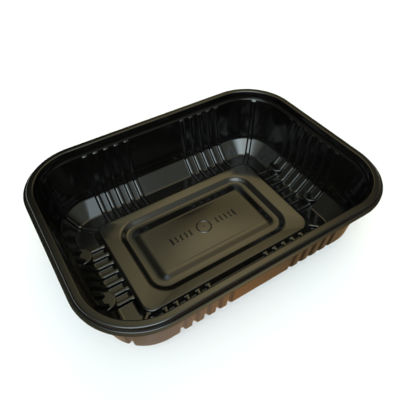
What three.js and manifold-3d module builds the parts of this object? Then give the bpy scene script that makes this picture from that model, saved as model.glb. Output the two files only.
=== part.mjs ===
// An empty sealable meal tray, formed in one piece from a single sheet of plastic.
// Millimetres, +Z up. The tray stands on Z = 0 with the middle of its base at the origin,
// its length along X and its width along Y.

import * as THREE from 'three';
import { mergeVertices } from 'three/addons/utils/BufferGeometryUtils.js';
import Module from 'manifold-3d';

// ---- driving dimensions ----
const LENGTH = 187;
const WIDTH = 138.7;
const WALL = 0.5;

// Heights of the food side of the sheet.
const RING_Z = WALL;                   // lowest level: foot ring and floor channel
const FLOOR_Z = RING_Z + 2.8;          // raised floor
const BRINK_Z = FLOOR_Z - 0.4;         // the floor dishes slightly down to its channel
const PANEL_Z = FLOOR_Z - 1.75;        // middle panel inside the channel
const BEND_Z = FLOOR_Z + 7.2;          // where the steep wall turns into the lower band
const SHOULDER_Z = FLOOR_Z + 38.35;    // top of the ribs
const FLANGE_Z = FLOOR_Z + 44.9;       // sealing flange
const LIP_Z = FLANGE_Z - 2.8;          // narrow lip round the flange

// Insets from the outer edge, the same on all four sides.
const LIP_INSET = 1.6;
const FLANGE_INSET = 2.2;
const RIM_INSET = 5.9;                 // inner edge of the flange
const SHOULDER_INSET = 7.6;
const BEND_INSET = 11.3;
const RING_INSET = 21.2;               // foot of the lower band
const RISER_INSET = 30.5;
const FLOOR_INSET = 33.6;

// How far each rounded corner of the section reaches back on both sides.
const BEND_ROUND = 1.3;
const RING_ROUND = 1;
const RISER_ROUND = 0.5;
const CHANNEL_ROUND = 0.8;

// Floor channel, inset along the length. Across the width it lies this much nearer the edge.
const CHANNEL_SHIFT = 3.7;
const BRINK_INSET = 43.4;
const CHANNEL_INSET = 46.5;
const CHANNEL_FOOT_INSET = 50;
const PANEL_INSET = 54.9;

// Ribs stand into the tray: half widths at the foot and at the crest, pitch and counts.
const RIB_FOOT = 1.9;
const RIB_CREST = 1.25;
const RIB_PITCH = 7.15;
const LONG_RIB_START = 21.2;           // first rib of a group, from the middle of the side
const LONG_RIBS = 5;                   // ribs in each of the two groups on a long side
const SHORT_RIBS = 7;                  // ribs across the middle of a short side
const RIB_TOP_DROP = 1.5;              // a rib rises out of the wall over this height
const RIB_TOP_DEPTH = 0.6;
const RIB_BEND_DEPTH = 1.6;            // depth at the bend, square to the lower band
const RIB_RING_HEIGHT = 2;             // height over the foot ring
const GROOVE_NARROWER = 0.25;          // outside, each groove flank is this much closer in

// Half-round lugs between the outermost pairs of ribs on the short sides.
const LUG_RADIUS = 6.2;
const LUG_X = 76.5;
const LUG_Y = 2.5 * RIB_PITCH;
const LUG_TOP_Z = FLOOR_Z + 2.5;
const LUG_REACH = 8;                   // straight part of its outline, into the wall

const RIM_CORNER_STEPS = 8;
const FLOOR_CORNER_STEPS = 6;
const LID_Z = FLANGE_Z + 10;
const OVERHANG = 2;                    // how far the upper space runs past the sheet's edge

// ---- section of the sheet ----
// A station is one level line round the sheet: its inset, height and corner radius, how far
// it is rounded off, and how much nearer it lies to the long edges.
const station = (inset, z, radius, round = 0, shift = 0) => ({ inset, z, radius, round, shift });

const RIM = [
  station(0, LIP_Z, 35.7),
  station(LIP_INSET, LIP_Z, 34.1),
  station(FLANGE_INSET, FLANGE_Z - 0.5, 33.5),
  station(FLANGE_INSET + 0.6, FLANGE_Z, 32.9),
  station(RIM_INSET - 0.7, FLANGE_Z, 30),
  station(RIM_INSET + 0.1, FLANGE_Z - 0.6, 29.2),
];

// The wall between the ribs, from the rib tops down to the edge of the floor.
const RIB_TOP_INSET = SHOULDER_INSET + 0.15;
const RIB_END_Z = RING_Z + RIB_RING_HEIGHT;
const RISER_SLOPE = (FLOOR_INSET - RISER_INSET) / (FLOOR_Z - RING_Z);
const RIB_END_INSET = RISER_INSET + RIB_RING_HEIGHT * RISER_SLOPE;
const SHOULDER = station(SHOULDER_INSET, SHOULDER_Z, 27.5);
const RIB_END = station(RIB_END_INSET, RIB_END_Z, 7.2);

const WALL_FACE = [
  SHOULDER,
  station(RIB_TOP_INSET, SHOULDER_Z - RIB_TOP_DROP, 27.3),
  station(BEND_INSET, BEND_Z, 25, BEND_ROUND),
  station(RING_INSET, RING_Z, 12.5, RING_ROUND),
  station(RISER_INSET, RING_Z, 8.5, RISER_ROUND),
  RIB_END,
];

// The crest of a rib, at the same levels: parallel to the lower band, level over the ring.
const BAND_SLOPE = (BEND_Z - RING_Z) / (RING_INSET - BEND_INSET);
const BAND_RISE = RIB_BEND_DEPTH * Math.hypot(1, BAND_SLOPE);
const CREST_BEND_INSET = BEND_INSET + RIB_BEND_DEPTH - 0.1;
const CREST_BEND_Z = BEND_Z + BAND_RISE - BAND_SLOPE * (CREST_BEND_INSET - BEND_INSET);
const CREST_RING_INSET = RING_INSET - (RIB_RING_HEIGHT - BAND_RISE) / BAND_SLOPE;

const CREST_FACE = [
  SHOULDER,
  station(RIB_TOP_INSET + RIB_TOP_DEPTH, SHOULDER_Z - RIB_TOP_DROP, 26.7),
  station(CREST_BEND_INSET, CREST_BEND_Z, 23.6, BEND_ROUND),
  station(CREST_RING_INSET, RIB_END_Z, 12.5, RING_ROUND),
  station(RISER_INSET, RIB_END_Z, 8.5, RISER_ROUND),
  RIB_END,
];

const FLOOR = [
  station(FLOOR_INSET, FLOOR_Z, 6.6, RISER_ROUND),
  station(BRINK_INSET, BRINK_Z, 12.5, CHANNEL_ROUND, CHANNEL_SHIFT),
  station(CHANNEL_INSET, RING_Z, 9.4, CHANNEL_ROUND, CHANNEL_SHIFT),
  station(CHANNEL_FOOT_INSET, RING_Z, 6.3, CHANNEL_ROUND, CHANNEL_SHIFT),
  station(PANEL_INSET, PANEL_Z, 4, CHANNEL_ROUND, CHANNEL_SHIFT),
];

// The station at a given reach from one station towards another.
function towards(line, other, reach) {
  const share = reach / Math.hypot(other.inset - line.inset, other.z - line.z);
  const mix = (name) => THREE.MathUtils.lerp(line[name], other[name], share);
  return station(mix('inset'), mix('z'), mix('radius'), 0, mix('shift'));
}

// A rounded corner of the section is cut off by two stations, and the last one levels out.
function rounded(section) {
  return section.flatMap((line, i) => {
    if (!line.round) return [line];
    const level = station(line.inset + 1, line.z, line.radius - 1, 0, line.shift);
    const next = section[i + 1] ?? level;
    return [towards(line, section[i - 1], line.round), towards(line, next, line.round)];
  });
}

// The underside of a section: each line moves square to the sheet by its thickness.
function underside(section) {
  const normals = section.slice(1).map((next, i) => {
    const run = next.inset - section[i].inset;
    const drop = next.z - section[i].z;
    const reach = Math.hypot(run, drop);
    return new THREE.Vector2(drop / reach, -run / reach);
  });
  normals.push(new THREE.Vector2(0, -1));
  return section.map((line, i) => {
    const before = normals[Math.max(i - 1, 0)];
    const after = normals[i];
    const move = before.clone().add(after).multiplyScalar(WALL / (1 + before.dot(after)));
    return station(line.inset + move.x, line.z + move.y, line.radius - move.x, 0, line.shift);
  });
}

// ---- columns round the tray ----
// The way round is cut in eight stretches, side and corner by turns, each one unit long.
const SIDES = [
  { turn: 0, ribs: centredRibs() },
  { turn: 1, ribs: pairedRibs() },
  { turn: 2, ribs: centredRibs() },
  { turn: 3, ribs: pairedRibs() },
];

function centredRibs() {
  return Array.from({ length: SHORT_RIBS }, (_, i) => (i - (SHORT_RIBS - 1) / 2) * RIB_PITCH);
}

function pairedRibs() {
  const group = Array.from({ length: LONG_RIBS }, (_, i) => LONG_RIB_START + i * RIB_PITCH);
  return [...group.map((along) => -along).reverse(), ...group];
}

// Four columns make a rib: foot, crest, crest, foot.
const ribColumns = (foot, crest) => [
  { across: -foot, crest: false },
  { across: -crest, crest: true },
  { across: crest, crest: true },
  { across: foot, crest: false },
];

function ribbedColumns(foot, crest) {
  const columns = [];
  for (const { turn, ribs } of SIDES) {
    for (const along of ribs) {
      for (const edge of ribColumns(foot, crest)) {
        const place = 2 * turn + 0.5 + (along + edge.across) / LENGTH;
        columns.push({ turn, along: along + edge.across, crest: edge.crest, place });
      }
    }
    for (const angle of [0, 14, 28]) columns.push(cornerColumn(turn, angle));
    for (const edge of ribColumns(foot, crest)) {
      columns.push({ ...cornerColumn(turn, 45 + edge.across), ...edge, angle: 45 });
    }
    for (const angle of [62, 76, 90]) columns.push(cornerColumn(turn, angle));
  }
  return columns;
}

function cornerColumn(turn, angle) {
  return { turn, angle, across: 0, crest: false, place: 2 * turn + 1 + angle / 90 };
}

function plainColumns(steps) {
  const columns = [];
  for (const { turn } of SIDES) {
    for (let i = 0; i <= steps; i++) columns.push(cornerColumn(turn, (90 * i) / steps));
  }
  return columns;
}

// The point where a column meets a station. Corners are arcs, and the width of a rib on a
// corner is laid off along the arc.
function pointAt(column, line) {
  const halfX = LENGTH / 2 - line.inset;
  const halfY = WIDTH / 2 - line.inset + line.shift;
  const quarter = column.turn % 2;
  const out = quarter ? halfY : halfX;
  const side = quarter ? halfX : halfY;
  const point = new THREE.Vector3(out, column.along ?? 0, line.z);
  if (column.angle !== undefined) {
    const angle = THREE.MathUtils.degToRad(column.angle) + column.across / line.radius;
    point.x = out - line.radius * (1 - Math.cos(angle));
    point.y = side - line.radius * (1 - Math.sin(angle));
  }
  return point.applyAxisAngle(new THREE.Vector3(0, 0, 1), (column.turn * Math.PI) / 2);
}

// ---- closed bodies from rings of columns ----
function ring(columns, line, crestLine = line) {
  return columns.map((column) => ({
    place: column.place,
    point: pointAt(column, column.crest ? crestLine : line),
  }));
}

// A fan from a middle point, or a band of triangles between two rings that need not match.
function fan(triangles, middle, edge) {
  edge.forEach((start, i) => {
    triangles.push(middle, start.point, edge[(i + 1) % edge.length].point);
  });
}

function band(triangles, upper, lower) {
  const at = (loop, i) => loop[i % loop.length];
  const placeOf = (loop, i) => at(loop, i).place + 8 * Math.floor(i / loop.length);
  let i = 0;
  let j = 0;
  while (i < upper.length || j < lower.length) {
    const middleUp = i < upper.length ? placeOf(upper, i) + placeOf(upper, i + 1) : Infinity;
    const middleLow = j < lower.length ? placeOf(lower, j) + placeOf(lower, j + 1) : Infinity;
    if (middleUp <= middleLow) {
      triangles.push(at(upper, i).point, at(lower, j).point, at(upper, i + 1).point);
      i += 1;
    } else {
      triangles.push(at(upper, i).point, at(lower, j).point, at(lower, j + 1).point);
      j += 1;
    }
  }
}

// The space above one face of the sheet, closed by a flat lid over the flange. The rim and
// the floor have plain corners, and the wall between them has its ribs.
function spaceAbove(rim, wall, crest, floor, foot, crestWidth) {
  const rimColumns = plainColumns(RIM_CORNER_STEPS);
  const floorColumns = plainColumns(FLOOR_CORNER_STEPS);
  const wallColumns = ribbedColumns(foot, crestWidth);
  const lid = ring(rimColumns, { ...rim[0], z: LID_Z });
  const rings = [
    lid,
    ...rim.map((line) => ring(rimColumns, line)),
    ...wall.map((line, i) => ring(wallColumns, line, crest[i])),
    ...floor.map((line) => ring(floorColumns, line)),
  ];
  const triangles = [];
  fan(triangles, new THREE.Vector3(0, 0, LID_Z), lid);
  for (let i = 1; i < rings.length; i++) band(triangles, rings[i - 1], rings[i]);
  const bottom = [];
  fan(bottom, new THREE.Vector3(0, 0, floor.at(-1).z), rings.at(-1));
  for (let i = 0; i < bottom.length; i += 3) triangles.push(bottom[i], bottom[i + 2], bottom[i + 1]);
  return new THREE.BufferGeometry().setFromPoints(triangles);
}

// The upright U-shaped block that holds one lug, round end towards the middle of the tray.
function lugBlock(radius, topZ, endX, endY) {
  const outline = new THREE.Shape();
  outline.moveTo(LUG_X + LUG_REACH, -radius);
  outline.lineTo(LUG_X + LUG_REACH, radius);
  outline.lineTo(LUG_X, radius);
  outline.absarc(LUG_X, 0, radius, Math.PI / 2, 1.5 * Math.PI);
  const block = new THREE.ExtrudeGeometry(outline, {
    depth: topZ + WALL,
    bevelEnabled: false,
    curveSegments: 10,
  });
  if (endX < 0) block.rotateZ(Math.PI);
  return block.translate(0, endY * LUG_Y, -WALL);
}

// ---- joining and cutting ----
const wasm = await Module();
wasm.setup();

function toSolid(geometry) {
  geometry.deleteAttribute('normal');
  geometry.deleteAttribute('uv');
  const merged = mergeVertices(geometry, 1e-4);
  return new wasm.Manifold(new wasm.Mesh({
    numProp: 3,
    vertProperties: merged.attributes.position.array,
    triVerts: merged.index.array,
  }));
}

function toGeometry(solid) {
  const mesh = solid.getMesh();
  const geometry = new THREE.BufferGeometry();
  geometry.setAttribute('position', new THREE.BufferAttribute(mesh.vertProperties, 3));
  geometry.setIndex(new THREE.BufferAttribute(mesh.triVerts, 1));
  const faceted = geometry.toNonIndexed();
  faceted.computeVertexNormals();
  return faceted;
}

// One face of the tray as a solid space, with the four lugs taken out of it.
function cutLugs(space, radius, topZ) {
  let solid = toSolid(space);
  for (const endX of [-1, 1]) {
    for (const endY of [-1, 1]) solid = solid.subtract(toSolid(lugBlock(radius, topZ, endX, endY)));
  }
  return solid;
}

// The sheet is what lies between the space above its underside and the space above its food side.
function trayGeometry() {
  const flats = rounded([...RIM, ...WALL_FACE, ...FLOOR]);
  const crests = rounded([...RIM, ...CREST_FACE, ...FLOOR]);
  const flatsBelow = underside(flats);
  const crestsBelow = underside(crests);
  const wallStart = RIM.length;
  const wallEnd = flats.findIndex((line) => line === RIB_END) + 1;
  // A rib starts and ends on the plain wall, on both faces of the sheet.
  for (const i of [wallStart, wallEnd - 1]) crestsBelow[i] = flatsBelow[i];

  const overhang = { ...RIM[0], inset: -OVERHANG, radius: RIM[0].radius + OVERHANG };
  const above = spaceAbove(
    [overhang, ...RIM.slice(1)],
    flats.slice(wallStart, wallEnd),
    crests.slice(wallStart, wallEnd),
    flats.slice(wallEnd),
    RIB_FOOT,
    RIB_CREST,
  );
  const under = spaceAbove(
    flatsBelow.slice(0, wallStart),
    flatsBelow.slice(wallStart, wallEnd),
    crestsBelow.slice(wallStart, wallEnd),
    flatsBelow.slice(wallEnd),
    RIB_FOOT - GROOVE_NARROWER,
    RIB_CREST - GROOVE_NARROWER,
  );
  const foodSide = cutLugs(above, LUG_RADIUS, LUG_TOP_Z);
  const tableSide = cutLugs(under, LUG_RADIUS - WALL, LUG_TOP_Z - WALL);
  return toGeometry(tableSide.subtract(foodSide));
}

// ---- the tray ----
const blackPlastic = new THREE.MeshStandardMaterial({
  color: 0x14130f,
  roughness: 0.22,
  metalness: 0,
});

const model = new THREE.Group();
const tray = new THREE.Mesh(trayGeometry(), blackPlastic);
tray.name = 'tray';
model.add(tray);

export default model;
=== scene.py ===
import math

import bpy
import numpy as np
from mathutils import Matrix, Vector


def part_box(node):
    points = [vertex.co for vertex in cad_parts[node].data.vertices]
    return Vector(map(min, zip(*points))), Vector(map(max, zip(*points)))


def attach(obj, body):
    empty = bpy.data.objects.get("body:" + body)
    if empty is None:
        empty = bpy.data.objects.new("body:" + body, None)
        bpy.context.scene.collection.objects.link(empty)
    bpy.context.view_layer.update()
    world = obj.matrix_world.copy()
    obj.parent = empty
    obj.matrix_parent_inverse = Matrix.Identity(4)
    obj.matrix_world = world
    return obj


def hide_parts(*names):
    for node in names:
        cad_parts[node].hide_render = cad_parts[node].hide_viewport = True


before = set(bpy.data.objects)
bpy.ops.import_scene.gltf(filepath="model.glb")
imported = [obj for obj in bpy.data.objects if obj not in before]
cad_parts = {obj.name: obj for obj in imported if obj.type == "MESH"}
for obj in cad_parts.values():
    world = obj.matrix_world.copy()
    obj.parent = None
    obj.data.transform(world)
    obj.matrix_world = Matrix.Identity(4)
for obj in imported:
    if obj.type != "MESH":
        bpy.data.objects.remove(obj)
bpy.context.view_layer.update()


# ---- Camera ----
# It stands over the near left corner of the tray and looks down into it, so close that the far
# side of the tray is drawn clearly smaller than the near side.
EYE = Vector((-0.0908, -0.1437, 0.2070))
HEADING = 0.5501            # from +Y towards +X, in radians
DIP = 0.8116                # below the horizon
TILT = -0.0159              # about the line of sight
LENS = 36.44                # focal length in millimetres
SENSOR = 36.0               # width in millimetres
NEAREST = 0.01              # metres, nothing nearer is drawn

look = Vector((math.sin(HEADING) * math.cos(DIP), math.cos(HEADING) * math.cos(DIP), -math.sin(DIP)))
level_right = Vector((math.cos(HEADING), -math.sin(HEADING), 0.0))
level_up = level_right.cross(look)
right = math.cos(TILT) * level_right + math.sin(TILT) * level_up
up = math.cos(TILT) * level_up - math.sin(TILT) * level_right

camera_data = bpy.data.cameras.new("camera")
camera_data.lens = LENS
camera_data.sensor_width = SENSOR
camera_data.clip_start = NEAREST
camera = bpy.data.objects.new("camera", camera_data)
bpy.context.scene.collection.objects.link(camera)
camera.matrix_world = Matrix.Translation(EYE) @ Matrix((right, up, -look)).transposed().to_4x4()
bpy.context.scene.camera = camera


# ---- Section of the sheet ----
# The tray is drawn in one piece from a sheet of black polypropylene half a millimetre thick.
# Its section runs from the cut edge of the lip over the sealing flange, down the steep wall,
# along the sloping lower band to the foot ring, up to the raised floor and through its channel.
MM = 0.001
SHEET = 0.5                 # thickness, in millimetres like all sizes of the tray
low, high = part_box("tray")
length, width, height = (high - low) / MM

ring_z = SHEET
floor_z = ring_z + 2.8
flange_z = height
shoulder_z = flange_z - 6.3
bend_z = floor_z + 7.2
rib_z = ring_z + 2.0        # top of a rib over the foot ring
panel_z = ring_z + 1.0      # edge of the panel inside the channel
bend_inset, ring_inset, riser_inset, floor_inset = 11.3, 21.2, 30.5, 33.5
band_slope = (bend_z - ring_z) / (ring_inset - bend_inset)
channel_shift = 3.7         # across the width the channel lies this much nearer the edge
floor_shift = 0.6           # and the floor this much
rib_end_z = ring_z + 1.8    # where a rib ends on the riser
riser_share = (rib_end_z - ring_z) / (floor_z - ring_z)
rib_end_inset = riser_inset + riser_share * (floor_inset - riser_inset)
channel_foot_inset = 50.5   # inner edge of the channel's flat bottom

# Each line: inset from the outer edge, height, corner radius, shift, rounding reach.
SHOULDER = (7.75, shoulder_z, 27.5, 0, 0.4)
RIB_END = (rib_end_inset, rib_end_z, 7.2, riser_share * floor_shift, 0.3)
RIM_LINES = [
    (0.0, flange_z - 2.8, 35.7, 0, 0),
    (1.6, flange_z - 2.8, 34.1, 0, 0.5),
    (2.3, flange_z, 33.4, 0, 0.85),
    (6.2, flange_z, 29.3, 0, 0.9),
    (6.45, flange_z - 3.8, 29.0, 0, 1.7),
    (7.3, shoulder_z + 0.8, 28.0, 0, 0),
]
FLAT_LINES = [
    SHOULDER,
    (7.83, shoulder_z - 0.7, 27.4, 0, 0.2),
    (bend_inset, bend_z, 25.0, 0, 1.7),
    (ring_inset, ring_z, 12.5, 0, 1.3),
    (riser_inset, ring_z, 8.5, 0, 0.7),
    RIB_END,
]
rib_depth = 1.6             # square to the lower band
band_rise = rib_depth * math.hypot(1, band_slope)
crest_back = 0.1            # a crest bends this much short of the rib's depth
crest_bend_inset = bend_inset + rib_depth - crest_back
CREST_LINES = [
    SHOULDER,
    (8.5, shoulder_z - 0.7, 26.7, 0, 0.4),
    (crest_bend_inset, bend_z + band_rise - band_slope * (rib_depth - crest_back), 23.6, 0, 1.7),
    (ring_inset - (rib_z - ring_z - band_rise) / band_slope, rib_z, 12.5, 0, 1.3),
    (riser_inset, rib_z - 0.1, 8.5, 0, 0.7),
    RIB_END,
]
FLOOR_LINES = [
    (floor_inset, floor_z, 6.6, floor_shift, 1.0),
    (43.4, floor_z - 0.65, 12.5, channel_shift, 1.2),
    (46.5, ring_z, 9.4, channel_shift, 1.2),
    (channel_foot_inset, ring_z, 6.0, channel_shift, 1.2),
    (54.8, panel_z, 1.6, channel_shift, 1.2),
    (56.8, panel_z, 1.4, channel_shift, 0),
]
CORNER_STEPS = 6            # rows round each bend of the section


def rounded_section(lines):
    """Rows of the section, and which way it runs there. At each corner the rows follow a
    quadratic curve from the point one reach before it to the point one reach after it."""
    lines = np.array(lines, float)
    t = np.linspace(0, 1, CORNER_STEPS)[:, None]
    rows, runs = [lines[:1, :4]], [(lines[1] - lines[0])[None, :2]]
    for before, corner, after in zip(lines, lines[1:], lines[2:]):
        reach = corner[4]
        if reach == 0:
            rows.append(corner[None, :4])
            runs.append((after - before)[None, :2])
            continue
        start = corner + (before - corner) * reach / np.hypot(*(before - corner)[:2])
        stop = corner + (after - corner) * reach / np.hypot(*(after - corner)[:2])
        rows.append(((1 - t) ** 2 * start + 2 * t * (1 - t) * corner + t ** 2 * stop)[:, :4])
        runs.append(((1 - t) * (corner - start) + t * (stop - corner))[:, :2])
    rows.append(lines[-1:, :4])
    runs.append((lines[-1] - lines[-2])[None, :2])
    return np.concatenate(rows), np.concatenate(runs)


def under_the_sheet(rows, runs):
    """The same rows on the underside: each moves square to the section by the thickness."""
    square = np.stack([runs[:, 1], -runs[:, 0]], 1) / np.hypot(runs[:, 0], runs[:, 1])[:, None]
    moved = rows.copy()
    moved[:, :2] += SHEET * square
    moved[:, 2] -= SHEET * square[:, 0]
    return moved


# ---- Ribs and corners ----
# Narrow ribs stand into the tray to stiffen its walls: seven on each short side, two groups of
# five on each long side and one across each corner. Each has a round crest, steep flanks and
# a small fillet at its foot, and outside it is a groove.
RIB_PITCH = 7.15
RIB_MIDDLE = 1.575          # half width of a rib, half way up its flank
FLANK = math.radians(66)
CREST_RADIUS = 1.3
FOOT_RADIUS = 0.4
FOOT_STEPS = 4              # columns round the fillet and round half the crest
CREST_STEPS = 6


def rib_profile():
    """Half a rib, from its foot to its crest: distance from the middle and share of the depth
    on the food side, then both on the underside, which lies one thickness square behind it.
    The foot and the crest are arcs that turn through the angle of the flank."""
    slope = math.tan(FLANK)
    drop = 1 - math.cos(FLANK)
    crest = RIB_MIDDLE - CREST_RADIUS * math.sin(FLANK) - (rib_depth / 2 - CREST_RADIUS * drop) / slope
    run = (rib_depth - (CREST_RADIUS + FOOT_RADIUS) * drop) / slope
    foot = crest + (CREST_RADIUS + FOOT_RADIUS) * math.sin(FLANK) + run
    turn_up, turn_down = np.linspace(0, FLANK, FOOT_STEPS), np.linspace(FLANK, 0, CREST_STEPS)
    turn = np.concatenate([turn_up, turn_down])
    across = np.concatenate([foot - FOOT_RADIUS * np.sin(turn_up), crest + CREST_RADIUS * np.sin(turn_down)])
    rise = np.concatenate([FOOT_RADIUS * (1 - np.cos(turn_up)),
                           rib_depth - CREST_RADIUS * (1 - np.cos(turn_down))])
    across_under = across - SHEET * np.sin(turn)
    rise_under = rise + SHEET * (1 - np.cos(turn))
    return across, rise / rib_depth, across_under, rise_under / rib_depth


def whole_rib():
    """Both halves of a rib in one row of columns, from left foot to right foot: the distances
    change sign on the left half, and the shares of the depth don't."""
    half = np.stack(rib_profile())
    left = half * np.array([-1, 1, -1, 1])[:, None]
    return np.concatenate([left, half[:, ::-1]], axis=1)


RIB = whole_rib()
rib_columns = RIB.shape[1]
rib_foot = RIB[0, -1]
PLAIN_STEPS = 9             # plain columns on each side of a corner's rib
CREST_SHARE = 0.97          # a column higher than this share of the depth is on the crest
LONG_RIB_START = 21.2       # first rib of a group, from the middle of the side
LONG_RIBS = 5               # ribs in each of the two groups on a long side
SHORT_RIBS = 7              # ribs across the middle of a short side
half_long_side = LONG_RIB_START + RIB_PITCH * np.arange(LONG_RIBS)
long_side = np.concatenate([-half_long_side[::-1], half_long_side])
short_side = RIB_PITCH * (np.arange(SHORT_RIBS) - SHORT_RIBS // 2)
SIDE, CORNER_START, CORNER_RIB, CORNER_END, PANEL_SIDE = range(5)


def columns():
    """The columns of the surface round the tray, side and corner by turns. Each has the quarter
    it is in, its kind, its middle or its share of the half corner, and the four values of the
    rib profile, which are zero on a plain column."""
    share = np.arange(PLAIN_STEPS) / PLAIN_STEPS
    rest = np.zeros((4, PLAIN_STEPS))
    parts = []
    for quarter in range(4):
        ribs = long_side if quarter % 2 else short_side
        for along in ribs:
            parts.append(np.vstack([np.full((3, rib_columns), [[quarter], [SIDE], [along]]), RIB]))
        here = np.full(PLAIN_STEPS, quarter)
        parts.append(np.vstack([here, np.full(PLAIN_STEPS, CORNER_START), share, rest]))
        parts.append(np.vstack([np.full((3, rib_columns), [[quarter], [CORNER_RIB], [0]]), RIB]))
        parts.append(np.vstack([here, np.full(PLAIN_STEPS, CORNER_END), share[::-1], rest]))
    return np.concatenate(parts, axis=1)


def kept_columns(table):
    """Columns that go on over the rim and the floor: those of the corners alone, and of a
    corner's rib its two feet and its crest."""
    kind, across, share = table[1], table[3], table[4]
    foot = np.abs(np.abs(across) - rib_foot) < 1e-6
    crest = share > CREST_SHARE
    return np.flatnonzero((kind == CORNER_START) | (kind == CORNER_END)
                          | ((kind == CORNER_RIB) & (foot | crest)))


def surface(rows, crest_rows, table, under):
    """Points of one face of the sheet, rows by columns. A column mixes the plain section and
    the section over a rib's crest by its share of the rib's depth. On a side it lies straight
    across, and on a corner it goes round the arc of the row's radius. The columns between the
    corners of the panel spread evenly along the straight stretch."""
    quarter, kind, along = table[0], table[1], table[2]
    across, share = table[5:7] if under else table[3:5]
    mixed = rows[:, None, :] + share[None, :, None] * (crest_rows - rows)[:, None, :]
    inset, level, radius, shift = np.moveaxis(mixed, 2, 0)
    half_x, half_y = length / 2 - inset, width / 2 - inset + shift
    odd = (quarter % 2 == 1)[None, :]
    out, side = np.where(odd, half_y, half_x), np.where(odd, half_x, half_y)
    rib_radius = np.maximum(radius, FLAT_LINES[-1][2])
    half_corner = math.pi / 4 - rib_foot / rib_radius
    angle = np.select(
        [kind == CORNER_START, kind == CORNER_RIB],
        [along * half_corner, math.pi / 4 + across / rib_radius],
        math.pi / 2 - along * half_corner,
    )
    straight = (kind == SIDE) | (kind == PANEL_SIDE)
    x = np.where(straight, out, out - radius * (1 - np.cos(angle)))
    y = np.select([kind == SIDE, kind == PANEL_SIDE], [along + across + 0 * out, along * (side - radius)],
                  side - radius * (1 - np.sin(angle)))
    turned_x = np.select([quarter == 0, quarter == 1, quarter == 2], [x, -y, -x], y)
    turned_y = np.select([quarter == 0, quarter == 1, quarter == 2], [y, x, -y], -x)
    return np.stack([turned_x, turned_y, level], axis=2)


# ---- Panel inside the channel ----
# The middle of the floor is a flat panel that the forming left slightly domed. Low rounded
# marks are pressed into it: a plain ring round a dot, and a row of short bars on each side.
PANEL_STEPS = 14            # rows from the edge of the panel to the narrow strip in its middle
HEART_INSET, HEART_RADIUS = 72.4, 0.5
LONG_COLUMNS, SHORT_COLUMNS = 28, 10
LONG_SHARES = (np.arange(LONG_COLUMNS) + 0.5) / (LONG_COLUMNS / 2) - 1
SHORT_SHARES = (np.arange(SHORT_COLUMNS) + 0.5) / (SHORT_COLUMNS / 2) - 1
DOME_HEIGHT = 1.3
dome_x = length / 2 - channel_foot_inset
dome_y = width / 2 + channel_shift - channel_foot_inset


def dome(x, y):
    """Height of the dome: the square of one minus the square of the way out, along and across."""
    u, v = np.minimum(np.abs(x) / dome_x, 1), np.minimum(np.abs(y) / dome_y, 1)
    return DOME_HEIGHT * (1 - u ** 2) ** 2 * (1 - v ** 2) ** 2


def domed(points):
    """The same points, raised by the dome."""
    points = points.copy()
    points[..., 2] += dome(points[..., 0], points[..., 1])
    return points


def panel_columns(few):
    """The columns of the panel: on each side a row of evenly spread ones, then its corner."""
    parts = []
    for quarter in range(4):
        shares = LONG_SHARES if quarter % 2 else SHORT_SHARES
        plain = np.zeros((7, len(shares)))
        plain[:3] = np.stack([np.full(len(shares), quarter), np.full(len(shares), PANEL_SIDE), shares])
        parts += [plain, few[:, few[0] == quarter]]
    return np.concatenate(parts, axis=1)


def panel_rows(edge):
    """Rows that shrink evenly from the edge of the panel to the narrow strip in its middle."""
    t = np.linspace(0, 1, PANEL_STEPS)[:, None]
    heart = np.array([HEART_INSET, edge[1], HEART_RADIUS, channel_shift])
    return (1 - t) * edge + t * heart


MARK_HEIGHT = 0.3
MARK_HALF = 0.6             # half the width of a line at its root
MARK_SIDE = 0.95            # share of that half that the side of a mark takes up
MARK_ROOT = 0.05            # how far below the panel the side of a mark begins
MARK_BASE = -0.4            # bottom of the bodies, below the panel
RING_RADIUS = 4.8
BAR_HALF = 2.3              # from the middle of a bar to the middle of its round end
BAR_START = 5.2             # from the ring to the first bar
BAR_PITCH = 3.4
BARS = 5                    # on each side of the ring
BAR_RISE_STEPS, BAR_TURN_STEPS = 6, 24
RING_RISE_STEPS, RING_TURN_STEPS = 5, 60


def mark_side(steps):
    """Inset and height up the side of a mark: half a wave from its root to its top."""
    t = np.linspace(0, 1, steps)
    level = -MARK_ROOT + (MARK_HEIGHT + MARK_ROOT) * (1 - np.cos(math.pi * t)) / 2
    return MARK_SIDE * MARK_HALF * t, level


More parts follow.
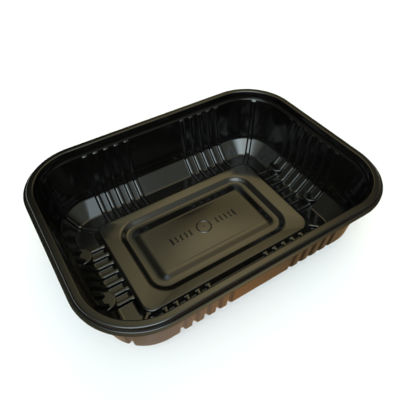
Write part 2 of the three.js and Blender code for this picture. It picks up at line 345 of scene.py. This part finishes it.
def pressed_marks():
    """The marks as closed bodies on the domed panel. A bar or dot is a long round outline that
    shrinks up the side, and the ring is the side, up and down again, carried round a circle."""
    inset, level = mark_side(BAR_RISE_STEPS)
    inset, level = np.append(0, inset), np.append(MARK_BASE, level)
    turn = 2 * math.pi * (np.arange(BAR_TURN_STEPS) + 0.5) / BAR_TURN_STEPS
    reach = (MARK_HALF - inset)[:, None]
    centres = [(0, 0, 0)]
    for side in (-1, 1):
        for number in range(BARS):
            centres.append((side * (RING_RADIUS + BAR_START + BAR_PITCH * number), 0, BAR_HALF))
    points, faces = [], []
    rows, count = len(inset), len(turn)
    for x, y, half in centres:
        first = len(points) * rows * count
        body = np.stack([x + reach * np.cos(turn), y + reach * np.sin(turn) + half * np.sign(np.sin(turn)),
                         level[:, None] + 0 * reach * turn], axis=2)
        points.append(body.reshape(-1, 3))
        faces += rings_of_quads(first, count, rows)[:, ::-1].tolist()
        faces.append(list(range(first, first + count))[::-1])
        faces.append(list(range(first + count * (rows - 1), first + count * rows)))
    points = np.concatenate(points)

    inset, level = mark_side(RING_RISE_STEPS)
    across = np.concatenate([MARK_HALF - inset, (inset - MARK_HALF)[::-1]])
    level = np.concatenate([level, level[::-1]])
    across = np.append(across, [-MARK_HALF, MARK_HALF])
    level = np.append(level, [MARK_BASE, MARK_BASE])
    turn = 2 * math.pi * np.arange(RING_TURN_STEPS) / RING_TURN_STEPS
    radius = (RING_RADIUS + across)[:, None]
    ring = np.stack([radius * np.cos(turn), radius * np.sin(turn), level[:, None] + 0 * turn], axis=2)
    ring_faces = rings_of_quads(0, len(turn), len(across) + 1)[:, ::-1] % (len(across) * len(turn))
    faces += (ring_faces + len(points)).tolist()
    points = np.concatenate([points, ring.reshape(-1, 3)])
    points[:, 2] += panel_z
    return new_object("marks", domed(points), faces)


# ---- Closed bodies ----
def rings_of_quads(first, count, rows):
    """Quads between rows of the same closed ring of columns, numbered row by row."""
    start = first + count * np.arange(rows - 1)[:, None] + np.arange(count)[None, :]
    beside = first + count * np.arange(rows - 1)[:, None] + np.roll(np.arange(count), -1)[None, :]
    return np.stack([start, start + count, beside + count, beside], axis=2).reshape(-1, 4)


def seam(fine_first, fine_count, coarse_first, kept):
    """Triangles between a full ring and a ring with the kept columns alone. Each full step goes
    to the nearer kept column, and each kept step to the column half way along it."""
    coarse_count = len(kept)
    ends = np.append(kept[1:], kept[0] + fine_count)
    middle = (kept + ends) // 2
    fine = kept[0] + np.arange(fine_count)
    at = np.searchsorted(kept, fine, side="right") - 1
    owner = np.where(fine < middle[at], at, at + 1) % coarse_count
    across_fine = np.stack([fine_first + fine % fine_count, coarse_first + owner,
                            fine_first + (fine + 1) % fine_count], axis=1)
    here = np.arange(coarse_count)
    across_coarse = np.stack([fine_first + middle % fine_count, coarse_first + here,
                              coarse_first + (here + 1) % coarse_count], axis=1)
    return np.concatenate([across_fine, across_coarse])


def cap(first, count, centre):
    """Triangles from a ring to the point in its middle."""
    ring = first + np.arange(count)
    return np.stack([ring, np.full(count, centre), np.roll(ring, -1)], axis=1)


def fold(first, count):
    """Quads across a ring that is the same on both sides of the X axis: each step on the far
    half joins its mirror image on the near half."""
    side = len(SHORT_SHARES)
    here = side // 2 + np.arange(count // 2 - 1)
    mirrored = (side - 1 - here) % count
    beyond = (side - 2 - here) % count
    return first + np.stack([here, mirrored, beyond, here + 1], axis=1)


def space_above(name, rim, flat, crest, floor, lid_z, under):
    """The closed space above one face of the sheet, up to a flat lid: rim rows, ribbed wall
    rows, floor rows and panel rows, and a point in the middle of the lid."""
    table = columns()
    kept = kept_columns(table)
    few = table[:, kept]
    panel_table = panel_columns(few)
    lid = rim[:1].copy()
    lid[:, 1] = lid_z
    inner = panel_rows(floor[-1])
    rim_points = surface(np.concatenate([lid, rim]), np.concatenate([lid, rim]), few, under)
    wall_points = surface(flat, crest, table, under)
    floor_points = domed(surface(floor, floor, few, under))
    panel_points = domed(surface(inner, inner, panel_table, under))
    n_few, n_all, n_panel = len(kept), table.shape[1], panel_table.shape[1]
    wall_first = len(rim_points) * n_few
    floor_first = wall_first + len(wall_points) * n_all
    panel_first = floor_first + len(floor_points) * n_few
    last_ring = panel_first + (len(panel_points) - 1) * n_panel
    points = np.concatenate([
        rim_points.reshape(-1, 3), wall_points.reshape(-1, 3), floor_points.reshape(-1, 3),
        panel_points.reshape(-1, 3), [[0, 0, lid_z]],
    ])
    quads = np.concatenate([
        rings_of_quads(0, n_few, len(rim_points)),
        rings_of_quads(wall_first, n_all, len(wall_points)),
        rings_of_quads(floor_first, n_few, len(floor_points)),
        rings_of_quads(panel_first, n_panel, len(panel_points)),
        fold(last_ring, n_panel),
    ])
    panel_kept = np.flatnonzero(panel_table[1] != PANEL_SIDE)
    triangles = np.concatenate([
        seam(wall_first, n_all, wall_first - n_few, kept)[:, ::-1],
        seam(floor_first - n_all, n_all, floor_first, kept),
        seam(panel_first, n_panel, panel_first - n_few, panel_kept)[:, ::-1],
        cap(0, n_few, len(points) - 1)[:, ::-1],
    ])
    return new_object(name, points, quads.tolist() + triangles.tolist())


def new_object(name, points, faces):
    """A mesh object from points in millimetres."""
    mesh = bpy.data.meshes.new(name)
    mesh.from_pydata((points * MM).tolist(), [], faces)
    mesh.validate()
    made = bpy.data.objects.new(name, mesh)
    bpy.context.scene.collection.objects.link(made)
    return made


# ---- Lugs ----
# Four half-round lugs are formed with the sheet at the ends of the floor, two on each short
# side. They stand up from the foot ring between the ribs, and are open from below.
LUG_X, LUG_Y = 76.5, 2.5 * RIB_PITCH
LUG_RADIUS = 6.2
LUG_REACH = 8.0             # straight part of its outline, into the wall
LUG_TOP = floor_z + 2.5
LUG_BASE = -1.0             # bottom of the blocks, below the sheet
LUG_EDGE = 0.7              # rounding of the top edge, and the same inside the pocket
POCKET_EDGE = 0.3
EDGE_STEPS, ROUND_STEPS = 5, 33


def lug_block(name, radius, top, edge):
    """The four upright half-round blocks of the lugs. Each is a U-shaped outline carried up a
    profile: straight up the side, round the top edge, and closed across the top."""
    turn = np.linspace(0, math.pi / 2, EDGE_STEPS)
    inward = np.concatenate([[0, 0], edge * (1 - np.cos(turn[1:]))])
    level = np.concatenate([[LUG_BASE, top - edge], top - edge + edge * np.sin(turn[1:])])
    swing = np.linspace(math.pi / 2, 1.5 * math.pi, ROUND_STEPS)
    reach = (radius - inward)[:, None]
    x = np.concatenate([LUG_REACH + 0 * reach, reach * np.cos(swing), LUG_REACH + 0 * reach], axis=1)
    y = np.concatenate([reach, reach * np.sin(swing), -reach], axis=1)
    z = np.repeat(level[:, None], x.shape[1], axis=1)
    one = np.stack([LUG_X + x, y, z], axis=2)
    count, rows = one.shape[1], one.shape[0]
    points, faces = [], []
    for end_x in (1, -1):
        for end_y in (1, -1):
            first = len(points) * count * rows
            block = one * [end_x, end_x, 1] + [0, end_y * LUG_Y, 0]
            points.append(block.reshape(-1, 3))
            faces += rings_of_quads(first, count, rows)[:, ::-1].tolist()
            faces.append(list(range(first, first + count))[::-1])
            faces.append(list(range(first + count * (rows - 1), first + count * rows)))
    return new_object(name, np.concatenate(points), faces)


# ---- The formed tray ----
# The sheet is one solid: what lies between the space above its underside and the space above
# its food side, with the lugs taken out of both and the marks out of the food side alone.
OVERHANG = 2.0              # how far the food space runs outward past the lip
FOOD_LID, UNDER_LID = 12.0, 10.0        # how far above the flange the two spaces end
SHARP = math.radians(40)


def cut(kept, *removed):
    """Takes the other bodies out of the first one, and deletes them."""
    for other in removed:
        modifier = kept.modifiers.new("cut", "BOOLEAN")
        modifier.operation = "DIFFERENCE"
        modifier.solver = "MANIFOLD"
        modifier.object = other
    graph = bpy.context.evaluated_depsgraph_get()
    mesh = bpy.data.meshes.new_from_object(kept.evaluated_get(graph))
    kept.modifiers.clear()
    kept.data = mesh
    for other in removed:
        bpy.data.objects.remove(other)
    return kept


def formed_sheet():
    """The solid of the sheet. The food space gets wider above the lip, so that the cut edge of
    the lip is the outermost line of the tray."""
    flat, flat_runs = rounded_section(RIM_LINES + FLAT_LINES + FLOOR_LINES)
    crest, crest_runs = rounded_section(RIM_LINES + CREST_LINES + FLOOR_LINES)
    flat_under = under_the_sheet(flat, flat_runs)
    crest_under = under_the_sheet(crest, crest_runs)
    # The rows before `first` are the rim, those from there to `last` the wall and the floor's edge.
    first = 2 + (len(RIM_LINES) - 2) * CORNER_STEPS
    last = first + (len(FLAT_LINES) + 1) * CORNER_STEPS
    overhang = flat[:first].copy()
    overhang[0, [0, 2]] += [-OVERHANG, OVERHANG]
    food = space_above("food_space", overhang, flat[first:last], crest[first:last], flat[last:],
                       flange_z + FOOD_LID, False)
    under = space_above("under_space", flat_under[:first], flat_under[first:last],
                        crest_under[first:last], flat_under[last:], flange_z + UNDER_LID, True)
    cut(food, lug_block("lugs", LUG_RADIUS, LUG_TOP, LUG_EDGE), pressed_marks())
    cut(under, lug_block("lug_pockets", LUG_RADIUS - SHEET, LUG_TOP - SHEET, POCKET_EDGE))
    return cut(under, food)


tray = formed_sheet()
tray.name = "formed_tray"
tray.data.name = "formed_tray"
tray.data.shade_smooth()
tray.data.set_sharp_from_angle(angle=SHARP)
flatter = tray.modifiers.new("flatter", "WEIGHTED_NORMAL")
flatter.keep_sharp = True
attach(tray, "root")
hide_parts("tray")


# ---- Black plastic ----
# Glossy black polypropylene, with the faint unevenness that a drawn sheet has: its colour and
# haze change a little from place to place, and its surface is slightly wavy and finely grained.
PLASTIC_DARK = (0.0013, 0.0012, 0.0011, 1)
PLASTIC_PALE = (0.0026, 0.0025, 0.0021, 1)
GLOSSIEST, HAZIEST = 0.09, 0.15         # roughness
NOISE_LOW, NOISE_HIGH = 0.3, 0.7        # the range that most of a noise pattern lies in
WAVE_HEIGHT, GRAIN_HEIGHT = 0.00002, 0.000004       # metres
# How many waves a pattern has to the metre.
TONE_SCALE, HAZE_SCALE, WAVE_SCALE, GRAIN_SCALE = 45, 70, 110, 2400

plastic = bpy.data.materials.new("black_plastic")
plastic.use_nodes = True
nodes, links = plastic.node_tree.nodes, plastic.node_tree.links
shader = nodes["Principled BSDF"]
place = nodes.new("ShaderNodeTexCoord")


def noise(scale, detail):
    """A soft random pattern over the piece, with this many waves to the metre."""
    pattern = nodes.new("ShaderNodeTexNoise")
    pattern.inputs["Scale"].default_value = scale
    pattern.inputs["Detail"].default_value = detail
    links.new(place.outputs["Object"], pattern.inputs["Vector"])
    return pattern.outputs["Fac"]


def spread(value, lowest, highest):
    """The pattern's middle range, stretched between two values."""
    stretch = nodes.new("ShaderNodeMapRange")
    stretch.inputs["From Min"].default_value = NOISE_LOW
    stretch.inputs["From Max"].default_value = NOISE_HIGH
    stretch.inputs["To Min"].default_value = lowest
    stretch.inputs["To Max"].default_value = highest
    links.new(value, stretch.inputs["Value"])
    return stretch.outputs["Result"]


tone = nodes.new("ShaderNodeMix")
tone.data_type = "RGBA"
tone.inputs["A"].default_value = PLASTIC_DARK
tone.inputs["B"].default_value = PLASTIC_PALE
links.new(spread(noise(TONE_SCALE, 3), 0, 1), tone.inputs["Factor"])
links.new(tone.outputs["Result"], shader.inputs["Base Color"])
links.new(spread(noise(HAZE_SCALE, 5), GLOSSIEST, HAZIEST), shader.inputs["Roughness"])

waves = nodes.new("ShaderNodeBump")
waves.inputs["Distance"].default_value = WAVE_HEIGHT
links.new(noise(WAVE_SCALE, 1), waves.inputs["Height"])
grain = nodes.new("ShaderNodeBump")
grain.inputs["Distance"].default_value = GRAIN_HEIGHT
links.new(noise(GRAIN_SCALE, 2), grain.inputs["Height"])
links.new(waves.outputs["Normal"], grain.inputs["Normal"])
links.new(grain.outputs["Normal"], shader.inputs["Normal"])

tray.data.materials.clear()
tray.data.materials.append(plastic)


# ---- Floor and warm panel ----
# A pale matt floor, and flat on it in front of the tray a lit panel in the brown of a table
# top, which only the reflections in the black plastic show.
FLOOR_REACH = 3.0
FLOOR_COLOUR = (0.72, 0.69, 0.705, 1)
FLOOR_ROUGHNESS = 0.9
WARM_LEFT, WARM_RIGHT, WARM_FRONT, WARM_BACK = -0.3, 0.6, -0.6, -0.03
WARM_LEVEL = 0.0004
WARM_WEAKEST = 0.4          # strength up to WEAK_Y, which grows to one at FULL_Y
WEAK_Y, FULL_Y = -0.125, -0.078
# Each shade of the panel: distance along X in metres, and its colour.
SHADES = [
    (-0.11, (0.5, 0.35, 0.2)),
    (-0.08, (0.55, 0.4, 0.25)),
    (-0.07, (0.85, 0.65, 0.5)),
    (-0.01, (0.75, 0.38, 0.15)),
    (0.03, (0.4, 0.25, 0.12)),
]


def flat_sheet(name, left, right, front, back, level):
    """A level rectangle that faces up, from its four sides and its height in metres."""
    corners = [(left, front, level), (right, front, level), (right, back, level), (left, back, level)]
    mesh = bpy.data.meshes.new(name)
    mesh.from_pydata(corners, [], [(0, 1, 2, 3)])
    made = bpy.data.objects.new(name, mesh)
    bpy.context.scene.collection.objects.link(made)
    return made


studio_floor = flat_sheet("studio_floor", -FLOOR_REACH, FLOOR_REACH, -FLOOR_REACH, FLOOR_REACH, 0)
pale = bpy.data.materials.new("pale_floor")
pale.use_nodes = True
matt = pale.node_tree.nodes["Principled BSDF"]
matt.inputs["Base Color"].default_value = FLOOR_COLOUR
matt.inputs["Roughness"].default_value = FLOOR_ROUGHNESS
studio_floor.data.materials.append(pale)

warm_panel = flat_sheet("warm_panel", WARM_LEFT, WARM_RIGHT, WARM_FRONT, WARM_BACK, WARM_LEVEL)
glow = bpy.data.materials.new("warm_glow")
glow.use_nodes = True
nodes, links = glow.node_tree.nodes, glow.node_tree.links
nodes.remove(nodes["Principled BSDF"])
lamp = nodes.new("ShaderNodeEmission")
spot = nodes.new("ShaderNodeTexCoord")
along = nodes.new("ShaderNodeSeparateXYZ")
links.new(spot.outputs["Object"], along.inputs["Vector"])
share = nodes.new("ShaderNodeMapRange")
shade_start, shade_end = SHADES[0][0], SHADES[-1][0]
share.inputs["From Min"].default_value = shade_start
share.inputs["From Max"].default_value = shade_end
links.new(along.outputs["X"], share.inputs["Value"])
ramp = nodes.new("ShaderNodeValToRGB")
stops = ramp.color_ramp.elements
for x, colour in SHADES[1:-1]:
    stops.new((x - shade_start) / (shade_end - shade_start)).color = (*colour, 1)
stops[0].color = (*SHADES[0][1], 1)
stops[-1].color = (*SHADES[-1][1], 1)
links.new(share.outputs["Result"], ramp.inputs["Fac"])
links.new(ramp.outputs["Color"], lamp.inputs["Color"])
dim = nodes.new("ShaderNodeMapRange")
dim.inputs["From Min"].default_value = WEAK_Y
dim.inputs["From Max"].default_value = FULL_Y
dim.inputs["To Min"].default_value = WARM_WEAKEST
dim.inputs["To Max"].default_value = 1
links.new(along.outputs["Y"], dim.inputs["Value"])
links.new(dim.outputs["Result"], lamp.inputs["Strength"])
links.new(lamp.outputs["Emission"], nodes["Material Output"].inputs["Surface"])
warm_panel.data.materials.append(glow)
warm_panel.visible_camera = False
warm_panel.visible_diffuse = False
warm_panel.visible_shadow = False


# ---- Light ----
# Soft light from all round: a large cool window high behind the camera, a warm wall behind
# the far right of the tray, weaker patches of wall and ceiling, and a dim room between them.
BACKDROP = (0.9, 0.9, 0.9, 1)
ROOM = (0.055, 0.05, 0.04)
# Each patch: heading from +X and height in degrees, half widths where its fading begins and
# ends in degrees, and its colour.
PATCHES = [
    (-120, 50, 15, 35, (4.4, 5.0, 5.0)),            # the window
    (-95, 40, 5, 20, (1.4, 2.0, 2.5)),              # a brighter pane beside it, towards +X
    (-145, 30, 5, 30, (1.0, 1.2, 1.3)),             # a lower pane beside it, towards -X
    (-145, 50, 15, 50, (1.4, 1.6, 1.5)),            # the pale wall round it
    (-55, 45, 15, 45, (0.6, 0.65, 0.55)),           # the wall at the near right
    (150, 40, 10, 50, (0.15, 0.15, 0.12)),          # a dim wall at the left
    (-85, 80, 5, 35, (0.8, 0.75, 0.6)),             # the ceiling
    (85, 87, 0, 15, (1.1, 1.7, 2.2)),               # a cool lamp on it
    (38, 61, 0, 25, (2.2, 1.75, 0.9)),              # the warm wall, brightest here
    (68, 60, 0, 25, (0.95, 0.9, 0.55)),             # its paler left part
    (55, 42, 0, 20, (0.8, 0.65, 0.3)),              # its lower part
    (20, 20, 5, 25, (0.65, 0.6, 0.35)),             # something low and warm at the right
]
world = bpy.data.worlds.new("studio")
world.use_nodes = True
nodes, links = world.node_tree.nodes, world.node_tree.links
toward = nodes.new("ShaderNodeTexCoord")
room = nodes.new("ShaderNodeRGB")
room.outputs["Color"].default_value = (*ROOM, 1)
total = room.outputs["Color"]
for heading, rise, inner, outer, colour in PATCHES:
    heading, rise = math.radians(heading), math.radians(rise)
    dot = nodes.new("ShaderNodeVectorMath")
    dot.operation = "DOT_PRODUCT"
    dot.inputs[1].default_value = (math.cos(rise) * math.cos(heading), math.cos(rise) * math.sin(heading),
                                   math.sin(rise))
    links.new(toward.outputs["Generated"], dot.inputs[0])
    angle = nodes.new("ShaderNodeMath")
    angle.operation = "ARCCOSINE"
    links.new(dot.outputs["Value"], angle.inputs[0])
    fade = nodes.new("ShaderNodeMapRange")
    fade.interpolation_type = "SMOOTHSTEP"
    fade.inputs["From Min"].default_value = math.radians(inner)
    fade.inputs["From Max"].default_value = math.radians(outer)
    fade.inputs["To Min"].default_value = 1
    fade.inputs["To Max"].default_value = 0
    links.new(angle.outputs["Value"], fade.inputs["Value"])
    patch = nodes.new("ShaderNodeVectorMath")
    patch.operation = "SCALE"
    patch.inputs[0].default_value = colour
    links.new(fade.outputs["Result"], patch.inputs["Scale"])
    more = nodes.new("ShaderNodeVectorMath")
    more.operation = "ADD"
    links.new(total, more.inputs[0])
    links.new(patch.outputs["Vector"], more.inputs[1])
    total = more.outputs["Vector"]
links.new(total, nodes["Background"].inputs["Color"])
# The lights themselves stay out of the picture: behind the floor is a plain pale backdrop.
backdrop = nodes.new("ShaderNodeBackground")
backdrop.inputs["Color"].default_value = BACKDROP
sight = nodes.new("ShaderNodeLightPath")
either = nodes.new("ShaderNodeMixShader")
links.new(sight.outputs["Is Camera Ray"], either.inputs["Fac"])
links.new(nodes["Background"].outputs["Background"], either.inputs[1])
links.new(backdrop.outputs["Background"], either.inputs[2])
links.new(either.outputs["Shader"], nodes["World Output"].inputs["Surface"])
bpy.context.scene.world = world
bpy.context.scene.view_settings.view_transform = "Standard"
